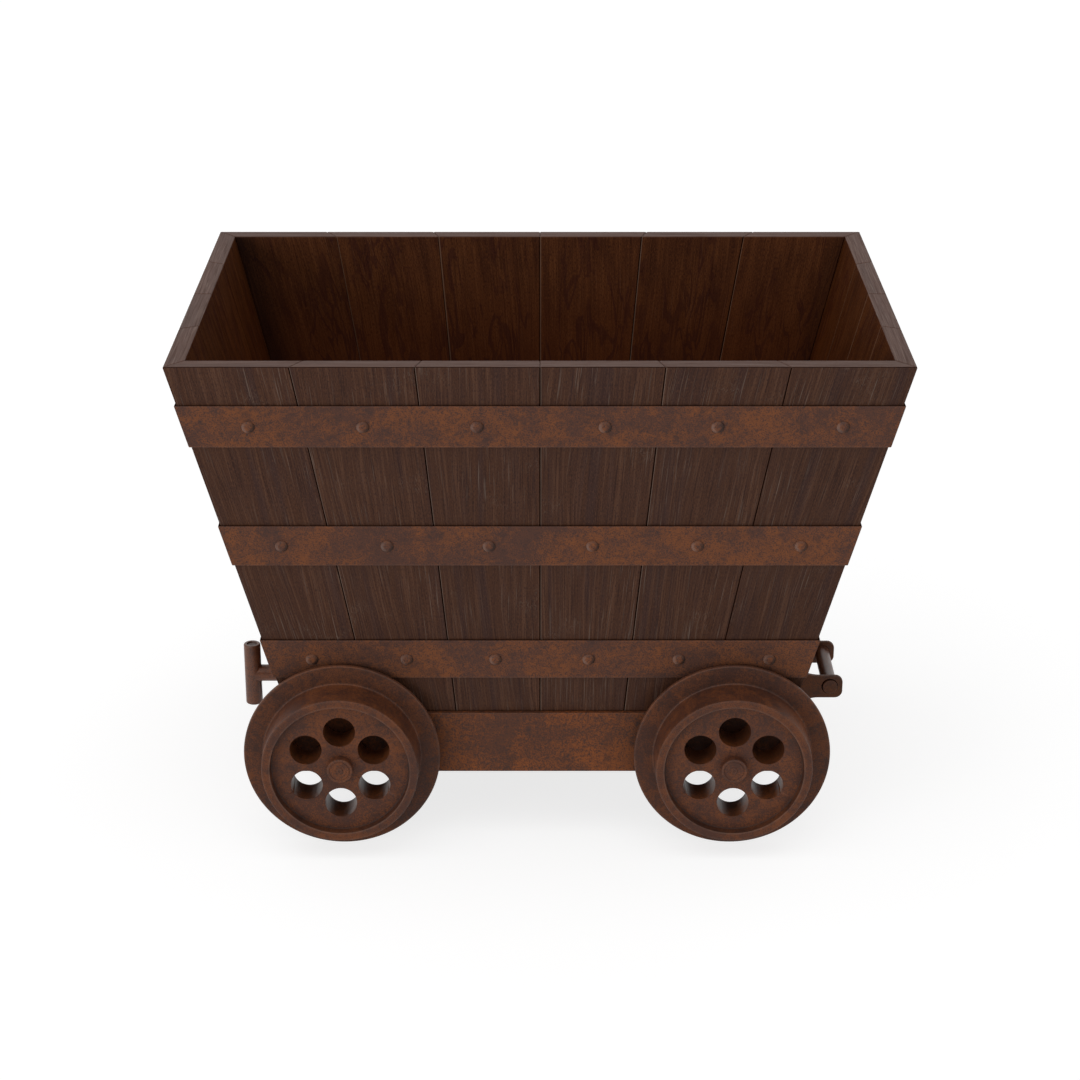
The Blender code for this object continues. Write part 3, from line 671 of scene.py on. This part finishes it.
# Hoops with hand-set rivets
hoops = dict(
    names=("upper_hoop", "middle_hoop", "lower_hoop"), height=0.086, thickness=0.0042,
    drop=0.079, pitch=0.255, gap=0.0003, lowerEdge=(0.0011, 0.12), upperEdge=(0.0011, 0.06),
    cornerRound=0.0014, innerCorner=0.3, cornerSteps=3, backStep=0.001, level=1e-5)
rivets = dict(
    radius=0.0125, rise=0.0059, rounds=28, foot=-0.0015, steps=10, fullness=0.9,
    edgeWear=0.1, wornSteps=(1, 5), shoulder=0.5, crownTone=0.14,
    # painted light: the rivets are lighter on the side the light comes from and darker on the other
    lean=(0.9, 0.4), litSideHighlight=0.55, litSideLight=0.35, shadedSideShade=0.8,
    # how far each one on a long side stands from the middle of its plank
    shift=dict(
        upper_hoop=(0.013, 0.004, -0.006, 0.010, -0.003, 0.008), middle_hoop=(0.008, 0.009, 0.003, 0.0, 0.0, -0.003),
        lower_hoop=(0.0, 0.007, 0.002, 0.006, 0.004, 0.003)))


def tubRing(z, grow, corner):
    # a level loop round the tub, its corners rounded
    length, width = (half + grow - corner for half in tubHalf(z))
    points = []
    for sx, sy, start in ((1, 1, 0), (-1, 1, 90), (-1, -1, 180), (1, -1, 270)):
        for k in range(hoops["cornerSteps"] + 1):
            turn = math.radians(start + 90 / hoops["cornerSteps"] * k)
            points.append(Vector((sx * length + corner * math.cos(turn), sy * width + corner * math.sin(turn), z)))
    return points


def rivetLine():
    # a low round cap with full shoulders
    r = rivets
    line = [(0.0, r["foot"], 0.0), (r["radius"], r["foot"], 0.0)]
    for k in range(r["steps"]):
        turn = math.pi / 2 * k / r["steps"]
        worn = r["edgeWear"] if r["wornSteps"][0] <= k <= r["wornSteps"][1] else 0.0
        line.append((r["radius"] * math.cos(turn) ** r["fullness"], r["rise"] * math.sin(turn), worn))
    return line + [(0.0, r["rise"], 0.0)]


def rivetSpots(name, middle):
    # the middle of each rivet, the way it faces and the way along its wall
    sideLean = math.atan2((tub["rimWidth"] - tub["footWidth"]) / 2, tub["tall"])
    endLean = math.atan2((tub["rimLength"] - tub["footLength"]) / 2, tub["tall"])
    length, width = (half + hoops["gap"] + hoops["thickness"] for half in tubHalf(middle))
    spots = []
    for sign in (-1, 1):
        for k, shift in enumerate(rivets["shift"][name]):
            across = 2 * (k + 0.5) / tub["sidePlanks"] - 1
            outward = Vector((0, sign * math.cos(sideLean), -math.sin(sideLean)))
            spots.append((Vector((across * length + shift, sign * width, middle)), outward, Vector((1, 0, 0))))
        for k in range(tub["endPlanks"]):
            across = 2 * (k + 0.5) / tub["endPlanks"] - 1
            outward = Vector((sign * math.cos(endLean), 0, -math.sin(endLean)))
            spots.append((Vector((sign * length, across * width, middle)), outward, Vector((0, 1, 0))))
    return spots


def hoopShape(name, index):
    h, r = hoops, rivets
    high = tub["rimHeight"] - h["drop"] - h["pitch"] * index
    low = high - h["height"]
    middle = (low + high) / 2
    thick = h["thickness"]
    section = roundedLine([
        (0.0, middle, 0, 0), (0.0, low, 0, 0), (thick, low, *h["lowerEdge"]),
        (thick, high, *h["upperEdge"]), (0.0, high, 0, 0), (0.0, middle + h["backStep"], 0, 0)])
    shape = bmesh.new()
    wearAndHighlight = shape.verts.layers.float.new("wearAndHighlight")
    toneAndShade = shape.verts.layers.float.new("toneAndShade")
    rings = []
    for out, z, worn in section:
        corner = h["cornerRound"] * (h["innerCorner"] + (1 - h["innerCorner"]) * out / thick)
        ring = [shape.verts.new(point) for point in tubRing(z, h["gap"] + out, corner)]
        for vert in ring:
            vert[wearAndHighlight] = worn
        rings.append(ring)
    for one, two in zip(rings, rings[1:] + rings[:1]):
        for k in range(len(one)):
            j = (k + 1) % len(one)
            face = shape.faces.new((one[k], one[j], two[j], two[k]))
            if all(abs(v.co.z - high) < h["level"] for v in face.verts):
                face.material_index = 1  # painted shade: the top ledge gets the dark dirt finish, where shade falls between hoop and planks
    line = rivetLine()
    leanAside, leanUp = r["lean"]
    for spot, outward, along in rivetSpots(name, middle):
        before = len(shape.verts)
        stand = Matrix.Translation(spot) @ outward.to_track_quat("Z", "Y").to_matrix().to_4x4()
        turnShape(line, r["rounds"], shape, stand)
        shape.verts.ensure_lookup_table()
        for vert in shape.verts[before:]:
            away = (vert.co - spot) / r["radius"]
            side = away.dot(along)
            vert[toneAndShade] = r["crownTone"]
            if Vector((side, away.z)).length > r["shoulder"]:  # painted highlight on the lit side and painted shade on the other
                rubbed = max(0.0, -leanAside * side - leanUp * away.z)
                sooty = max(0.0, leanAside * side - leanUp * away.z)
                vert[wearAndHighlight] = max(vert[wearAndHighlight], rubbed * r["litSideHighlight"])
                vert[toneAndShade] = rubbed * r["litSideLight"] - r["shadedSideShade"] * sooty
    return shape


for index, name in enumerate(hoops["names"]):
    addPiece(name, "iron", hoopShape(name, index), [iron["hoopIron"], dirtAndShade])
print("hoops riveted on")


# Wheels: flange, coned tread, recessed web with six holes; a turned cap closes each axle end
wheels = dict(
    x=dict(drawbar=-0.3955, hitch=0.3835), backY=0.397, axleHeight=0.196, rounds=144,
    flangeRadius=0.196, flangeThickness=0.010, flangeFront=(0.0026, 0.10), flangeBack=(0.0026, 0.08),
    treadBack=0.157, treadFront=0.1545, treadRoot=(0.0024, 0.10), treadEdge=(0.0022, 0.07),
    ringInner=0.138, ringEdge=(0.0011, 0.22), ringDraft=0.0015,
    depth=0.080, webDepth=0.0625, webFillet=0.0024, bore=0.0252,
    holes=6, holeRadius=0.03175, holeCircle=0.0775, holeRounds=48, holeRound=0.0016,
    holeZone=(0.03, 0.125), cutterLength=1.4, holeEdge=60)
wheelTone = dict(
    flange=-0.15, flangeTopShade=0.25, flangeTopShadeFall=4, ring=-0.04, webCornerShade=-0.55, ringWallShade=-0.30,
    cornerWidth=0.0045, margin=0.001, facing=0.9, upright=0.5)
caps = dict(
    radius=0.0255, foot=0.0629, thickness=0.0168, spigot=0.004, rounds=72,
    # rings turned in the face: radius, depth, rounding, wear
    face=(
        (0.0, 0.0010, 0, 0.0), (0.0022, 0.0010, 0.0003, 0.0), (0.0032, 0.0, 0.0004, 0.06), (0.0056, 0.0, 0.0004, 0.06),
        (0.0068, 0.0014, 0.0004, 0.0), (0.0116, 0.0005, 0.0003, 0.02), (0.0124, 0.0010, 0.0003, 0.0),
        (0.0184, 0.0004, 0.0004, 0.03), (0.0194, 0.0015, 0.0003, 0.0), (0.0206, 0.0002, 0.0004, 0.04),
        (0.0255, 0.0002, 0.0014, 0.08)))
axles = dict(
    radius=0.020, half=0.4594, edge=(0.0012, 0.3), rounds=64,
    collarRadius=0.034, collarFit=0.0002, collarFront=-0.0004, collarBack=-0.0177, collarEdge=(0.0015, 0.4))
sideSign = {"near": -1, "far": 1}


def wheelShape(stand):
    w, tones = wheels, wheelTone
    line = roundedLine([
        (w["bore"], w["webDepth"], 0, 0.0),
        (w["ringInner"] - w["ringDraft"], w["webDepth"], w["webFillet"], 0.0),
        (w["ringInner"], w["depth"], *w["ringEdge"]), (w["treadFront"], w["depth"], *w["treadEdge"]),
        (w["treadBack"], w["flangeThickness"], *w["treadRoot"]),
        (w["flangeRadius"], w["flangeThickness"], *w["flangeFront"]),
        (w["flangeRadius"], 0.0, *w["flangeBack"]), (w["bore"], 0.0, 0, 0.0)])
    shape = turnShape(line, w["rounds"], loop=True)
    cutter = bmesh.new()
    for k in range(w["holes"]):
        turn = math.pi / 2 + math.tau * k / w["holes"]
        spot = Vector((w["holeCircle"] * math.cos(turn), w["holeCircle"] * math.sin(turn), w["webDepth"] / 2))
        bmesh.ops.create_cone(cutter, cap_ends=True, segments=w["holeRounds"], radius1=w["holeRadius"],
                              radius2=w["holeRadius"], depth=w["webDepth"] * w["cutterLength"],
                              matrix=Matrix.Translation(spot))
    shape = applied(shape, cutter, "DIFFERENCE")

    def inHoles(point):
        return w["holeZone"][0] < point.xy.length < w["holeZone"][1]

    roundEdges(shape, [e for e in sharpEdges(shape, w["holeEdge"]) if inHoles(edgeMiddle(e))], w["holeRound"])
    bmesh.ops.dissolve_degenerate(shape, dist=making["sliver"], edges=shape.edges)
    shape.normal_update()
    toneAndShade = shape.faces.layers.float.new("toneAndShade")
    for face in shape.faces:
        middle = face.calc_center_median()
        out = middle.xy.length
        # painted shade: the flange face is darkened where the tread beside it shades it
        if face.normal.z > tones["facing"] and out > w["ringInner"]:
            flangeTopShade = max(0.0, middle.y / w["flangeRadius"]) ** tones["flangeTopShadeFall"]  # painted shade, most on one side of the flange, the top on the near wheels
            face[toneAndShade] = tones["flange"] - tones["flangeTopShade"] * flangeTopShade if out > w["treadBack"] else tones["ring"]
        inCorner = w["ringInner"] - tones["cornerWidth"] < out < w["ringInner"]
        if abs(face.normal.z) < tones["upright"] and inHoles(middle):
            face.material_index = 1  # the holes are cast smoother
        elif inCorner and w["webDepth"] - tones["margin"] < middle.z < w["depth"] - tones["margin"]:
            low = middle.z < w["webDepth"] + tones["cornerWidth"]
            face[toneAndShade] = tones["webCornerShade"] if low else tones["ringWallShade"]  # painted shade round the edge of the web, inside the ring
    bmesh.ops.transform(shape, matrix=stand, verts=shape.verts)
    return shape


def capShape(stand):
    face = caps["foot"] + caps["thickness"]
    line = [(radius, face - depth, rounding, worn) for radius, depth, rounding, worn in caps["face"]]
    line += [(caps["radius"], caps["foot"], 0, 0.0), (caps["spigot"], caps["foot"], 0, 0.0)]
    shape = turnShape(roundedLine(line), caps["rounds"], None, stand)
    bmesh.ops.holes_fill(shape, edges=[e for e in shape.edges if e.is_boundary], sides=0)
    return shape


def collarShape(stand):
    a = axles
    inner = a["radius"] + a["collarFit"]
    line = roundedLine([
        (inner, a["collarFront"], 0, 0), (a["collarRadius"], a["collarFront"], *a["collarEdge"]),
        (a["collarRadius"], a["collarBack"], *a["collarEdge"]), (inner, a["collarBack"], 0, 0)])
    return turnShape(line, a["rounds"], None, stand, True)


def barLine(radius, half, edge):
    # a plain round bar with both ends eased
    return roundedLine([(0.0, half, 0, 0), (radius, half, *edge), (radius, -half, *edge), (0.0, -half, 0, 0)])


def axleShape(end):
    line = barLine(axles["radius"], axles["half"], axles["edge"])
    return turnShape(line, axles["rounds"], None, standing((wheels["x"][end], 0, wheels["axleHeight"]), 90, "X"))


for end in wheels["x"]:
    addPiece(end + "_axle", "bar", axleShape(end), [metal["axleSteel"]])
    for side, sign in sideSign.items():
        corner = side + "_" + end
        stand = standing((wheels["x"][end], sign * wheels["backY"], wheels["axleHeight"]), -90 * sign, "X")
        castings = [iron["wheelIron"], iron["holeIron"]]
        addPiece(corner + "_wheel", "casting", wheelShape(stand), castings, corner + "_wheel_set")
        addPiece(corner + "_hub_cap", "turned", capShape(stand), [iron["wheelIron"]])
        addPiece(corner + "_collar", "ring", collarShape(stand), [metal["axleSteel"]])
        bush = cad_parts[corner + "_bush"].data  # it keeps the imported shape
        bush.materials.clear()
        bush.materials.append(metal["bushBronze"].material)
print("wheels set on their axles")


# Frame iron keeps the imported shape, with its edges rounded
frameIron = dict(
    beams=("near_side_sill", "far_side_sill", "drawbar_end_beam", "hitch_end_beam", "drawbar_cross_bearer",
           "hitch_cross_bearer"),
    edgeRound=0.0014, nutRound=0.0012, edge=35, edgeWear=0.2)


def softened(node, finish, width):
    shape = bmesh.new()
    shape.from_mesh(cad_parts[node].data)
    bmesh.ops.remove_doubles(shape, verts=shape.verts, dist=making["weld"])
    bmesh.ops.dissolve_limit(shape, angle_limit=math.radians(making["flat"]), verts=shape.verts, edges=shape.edges)
    rub = shape.faces.layers.float.new("rub")
    for face in roundEdges(shape, sharpEdges(shape, frameIron["edge"]), width)["faces"]:
        face[rub] = frameIron["edgeWear"]
    addPiece(node, "iron", shape, [finish])


axleBlocks = [side + "_" + end + "_axle_block" for end in wheels["x"] for side in sideSign]
for node in [*frameIron["beams"], *axleBlocks]:
    softened(node, iron["frameIron"], frameIron["edgeRound"])
softened("drawbar_nut", metal["axleSteel"], frameIron["nutRound"])
print("frame iron softened")


# Drawbar: a round arm through the end beam, an upright bar across its end
drawbar = dict(
    height=0.188, radius=0.01775, length=0.138, reach=0.6146, beamX=0.520, gap=0.0003,
    shoulder=(0.001, 0.2), shankRadius=0.015, shankEnd=0.4757, shankEdge=(0.002, 0.3),
    topEdge=(0.0028, 0.25), lowerEdge=(0.0028, 0.45), footWear=0.1, rounds=56,
    joint=0.0045, jointSteps=4, jointEdge=40, jointRoom=(1.05, 1.1),
    groove=0.60, sunkShadeDepth=0.0035, sunkEndShade=-0.5,
    # the sunk end: radius from the groove, depth, rounding, wear
    sunk=((-0.0030, 0.0022, 0.0006, 0.0), (-0.0012, 0.0030, 0.0004, 0.0), (0.0004, 0.0, 0.0006, 0.15)))


def drawbarShape():
    d = drawbar
    face = d["beamX"] + d["gap"]
    arm = turnShape(roundedLine([
        (0.0, d["reach"], 0, 0), (d["radius"], d["reach"], 0, 0),
        (d["radius"], face, *d["shoulder"]), (d["shankRadius"], face, 0, 0),
        (d["shankRadius"], d["shankEnd"], *d["shankEdge"]), (0.0, d["shankEnd"], 0, 0)]),
        d["rounds"], None, standing((0, 0, d["height"]), -90, "Y"))
    top = d["length"] / 2
    groove = d["radius"] * d["groove"]
    line = [(0.0, top - d["sunk"][0][1], 0, 0)]
    line += [(groove + out, top - depth, rounding, worn) for out, depth, rounding, worn in d["sunk"]]
    line += [
        (d["radius"], top, *d["topEdge"]), (d["radius"], -top, *d["lowerEdge"]), (0.0, -top, 0, d["footWear"])]
    stand = Matrix.Translation((-d["reach"], 0, d["height"]))
    shape = applied(arm, turnShape(roundedLine(line), d["rounds"], None, stand), "UNION")
    saddle = []
    for edge in sharpEdges(shape, d["jointEdge"]):
        middle = edgeMiddle(edge)
        level = abs(middle.z - d["height"]) < d["radius"] * d["jointRoom"][0]
        if level and 0 < middle.x + d["reach"] < d["radius"] * d["jointRoom"][1]:
            saddle.append(edge)
    roundEdges(shape, saddle, d["joint"], d["jointSteps"])
    bmesh.ops.dissolve_degenerate(shape, dist=making["sliver"], edges=shape.edges)
    shape.verts.index_update()
    ordered = sorted(shape.faces, key=lambda face: sorted(vert.index for vert in face.verts))
    ranks = {face: rank for rank, face in enumerate(ordered)}
    shape.faces.sort(key=lambda face: ranks[face])  # the join leaves them in any order
    toneAndShade = shape.faces.layers.float.new("toneAndShade")
    for face in shape.faces:
        middle = face.calc_center_median()
        out = Vector((middle.x + d["reach"], middle.y)).length
        if middle.z > d["height"] + top - d["sunkShadeDepth"] and out < groove:
            face[toneAndShade] = d["sunkEndShade"]  # painted shade in the sunk end
    return shape


addPiece("drawbar", "bar", drawbarShape(), [iron["drawbarIron"]])


# Hitch: two flared cheeks on a bolted base, and the pin across them
hitch = dict(
    height=0.1975, beamX=0.520, gap=0.0003, base=0.012, baseEdge=(0.002, 0.35),
    reach=0.6385, half=0.0255, corner=0.016, cornerSteps=14, rootDepth=0.004,
    flare=0.070, flareLength=0.056, flareSteps=18, spread=0.1805, thickness=0.007,
    margin=0.004, cheekEdge=(0.0011, 0.45), edge=60)
pin = dict(
    radius=0.0155, x=0.612, half=0.09275, edge=(0.0012, 0.06), rounds=56,
    shadowInner=0.0012, shadowOuter=0.0017, shadowRise=0.0006, shadowShift=(-0.0007, 0.0009))
bolts = dict(
    radius=0.0105, rise=0.007, foot=-0.001, crownWear=0.2, edge=(0.0012, 0.45), sides=6,
    y=(-0.052, 0.052), z=(-0.034, 0.034))


def slabShape(outline, middle, thick, edgeRound, edgeWear):
    # an outline of (x, z) points made thick along Y
    shape = bmesh.new()
    near = [shape.verts.new((x, middle - thick / 2, z)) for x, z in outline]
    far = [shape.verts.new((x, middle + thick / 2, z)) for x, z in outline]
    shape.faces.new(near)
    shape.faces.new(list(reversed(far)))
    for k in range(len(outline)):
        j = (k + 1) % len(outline)
        shape.faces.new((near[j], near[k], far[k], far[j]))
    shape.normal_update()
    rub = shape.faces.layers.float.new("rub")
    for face in roundEdges(shape, sharpEdges(shape, hitch["edge"]), edgeRound)["faces"]:
        face[rub] = edgeWear
    return shape


def arcLine(centreX, centreZ, radius, start, end, steps):
    turns = [math.radians(start + (end - start) * k / steps) for k in range(steps + 1)]
    return [(centreX + radius * math.cos(t), centreZ + radius * math.sin(t)) for t in turns]


def joined(shapes):
    whole = bmesh.new()
    for shape in shapes:
        mesh = meshOf("former", shape)
        whole.from_mesh(mesh)
        bpy.data.meshes.remove(mesh)
    return whole


def pinShadowRing(sign):
    # painted shadow: a dark ring round one end of the pin, thickest on one side
    inner = pin["radius"] - pin["shadowInner"]
    line = [(inner, 0, 0), (inner, pin["shadowRise"], 0), (pin["radius"] + pin["shadowOuter"], 0, 0)]
    spot = (pin["x"] + pin["shadowShift"][0], sign * hitch["spread"] / 2, hitch["height"] + pin["shadowShift"][1])
    ring = turnShape(line, pin["rounds"], None, standing(spot, -90 * sign, "X"), True)
    for face in ring.faces:
        face.material_index = 1
    return ring


def boltShape(x, y, z):
    b = bolts
    line = roundedLine([
        (0.0, b["rise"], 0, b["crownWear"]), (b["radius"], b["rise"], *b["edge"]),
        (b["radius"], b["foot"], 0, 0), (0.0, b["foot"], 0, 0)])
    return turnShape(line, b["sides"], None, standing((x, y, z), 90, "Y"))


def hitchShape():
    h = hitch
    back = h["beamX"] + h["gap"]
    front = back + h["base"]
    start = math.degrees(math.acos(-h["flareLength"] / h["flare"]))
    rootHalf = h["half"] + h["flare"] * (1 - math.sin(math.radians(start)))
    upper = [(front - h["rootDepth"], rootHalf)]
    upper += arcLine(front + h["flareLength"], h["half"] + h["flare"], h["flare"], 360 - start, 270, h["flareSteps"])
    upper += arcLine(h["reach"] - h["corner"], h["half"] - h["corner"], h["corner"], 90, 0, h["cornerSteps"])
    outline = [(x, h["height"] + z) for x, z in upper] + [(x, h["height"] - z) for x, z in reversed(upper)]
    middle = (h["spread"] - h["thickness"]) / 2
    shapes = [slabShape(outline, sign * middle, h["thickness"], *h["cheekEdge"]) for sign in (-1, 1)]
    shapes += [pinShadowRing(sign) for sign in (-1, 1)]
    low, high = (h["height"] + sign * (rootHalf + h["margin"]) for sign in (-1, 1))
    plate = [(back, low), (front, low), (front, high), (back, high)]
    shapes.append(slabShape(plate, 0.0, h["spread"] + 2 * h["margin"], *h["baseEdge"]))
    shapes += [boltShape(front, y, h["height"] + z) for y in bolts["y"] for z in bolts["z"]]
    return joined(shapes)


def pinShape():
    line = barLine(pin["radius"], pin["half"], pin["edge"])
    shape = turnShape(line, pin["rounds"], None, standing((pin["x"], 0, hitch["height"]), 90, "X"))
    for face in shape.faces:
        if abs(face.calc_center_median().y) > hitch["spread"] / 2:
            face.material_index = 1  # only the middle is rubbed smooth
    return shape


addPiece("hitch_bracket", "iron", hitchShape(), [iron["couplerIron"], dirtAndShade])
addPiece("hitch_pin", "bar", pinShape(), [iron["pinIron"], iron["couplerIron"]])
print("drawbar and hitch fitted")


# Studio: white round about, a pale floor, soft light from the left and from above
studio = {"white": (1.0, 1.0, 1.0, 1.0), "fill": 0.44,
          "floorHalf": 30.0, "floorHeight": -0.0005, "floorTone": 0.92, "floorShade": 0.34, "floorGlow": 0.78,
          "camera": {"place": (0.0, -5.0305, 2.5444), "down": 22.166, "lens": 86.25, "sensor": 36.0},
          "lights": {"key": {"from": (-0.68, -0.73, 0.08), "spread": 30, "strength": 1.06},
                     "top": {"from": (-0.15, -0.20, 1.0), "spread": 60, "strength": 0.85}}}

world = bpy.data.worlds.new("studio")
scene.world = world
world.use_nodes = True
sky = Graph(world.node_tree)
seen = sky.seen()
backdrop = world.node_tree.nodes["Background"]
sky.put(studio["white"], backdrop.inputs["Color"])
sky.put(seen + (1 - seen) * studio["fill"], backdrop.inputs["Strength"])

floorShape = bmesh.new()
bmesh.ops.create_grid(floorShape, x_segments=2, y_segments=2, size=studio["floorHalf"])
floor = addObject("floor", meshOf("floor", floorShape))
floor.location.z = studio["floorHeight"]
pale = Finish("paleFloor", {})
plain = pale.node("ShaderNodeBsdfDiffuse", None, {"Color": (*[studio["floorTone"]] * 3, 1.0)})
shade = pale.node("ShaderNodeBsdfDiffuse", None, {"Color": (*[studio["floorShade"]] * 3, 1.0)})
glow = pale.node("ShaderNodeEmission", None, {"Color": studio["white"], "Strength": studio["floorGlow"]})
both = pale.node("ShaderNodeAddShader", None, {0: shade, 1: glow})
shown = pale.node("ShaderNodeMixShader", None, {0: pale.seen(), 1: plain, 2: both})
pale.put(shown, pale.tree.nodes["Material Output"].inputs["Surface"])
pale.material.cycles.emission_sampling = "NONE"  # the glow is only seen, it lights nothing
floor.data.materials.append(pale.material)

for name, light in studio["lights"].items():
    lamp = bpy.data.lights.new(name, "SUN")
    lamp.energy = light["strength"]
    lamp.angle = math.radians(light["spread"])
    addObject(name, lamp).rotation_euler = Vector(light["from"]).to_track_quat("Z", "Y").to_euler()

view = studio["camera"]
lens = bpy.data.cameras.new("camera")
lens.lens = view["lens"]
lens.sensor_width = view["sensor"]
camera = addObject("camera", lens)
camera.location = view["place"]
camera.rotation_euler = (math.radians(90 - view["down"]), 0.0, 0.0)
scene.camera = camera
scene.view_settings.view_transform = "Standard"
print("studio lit")
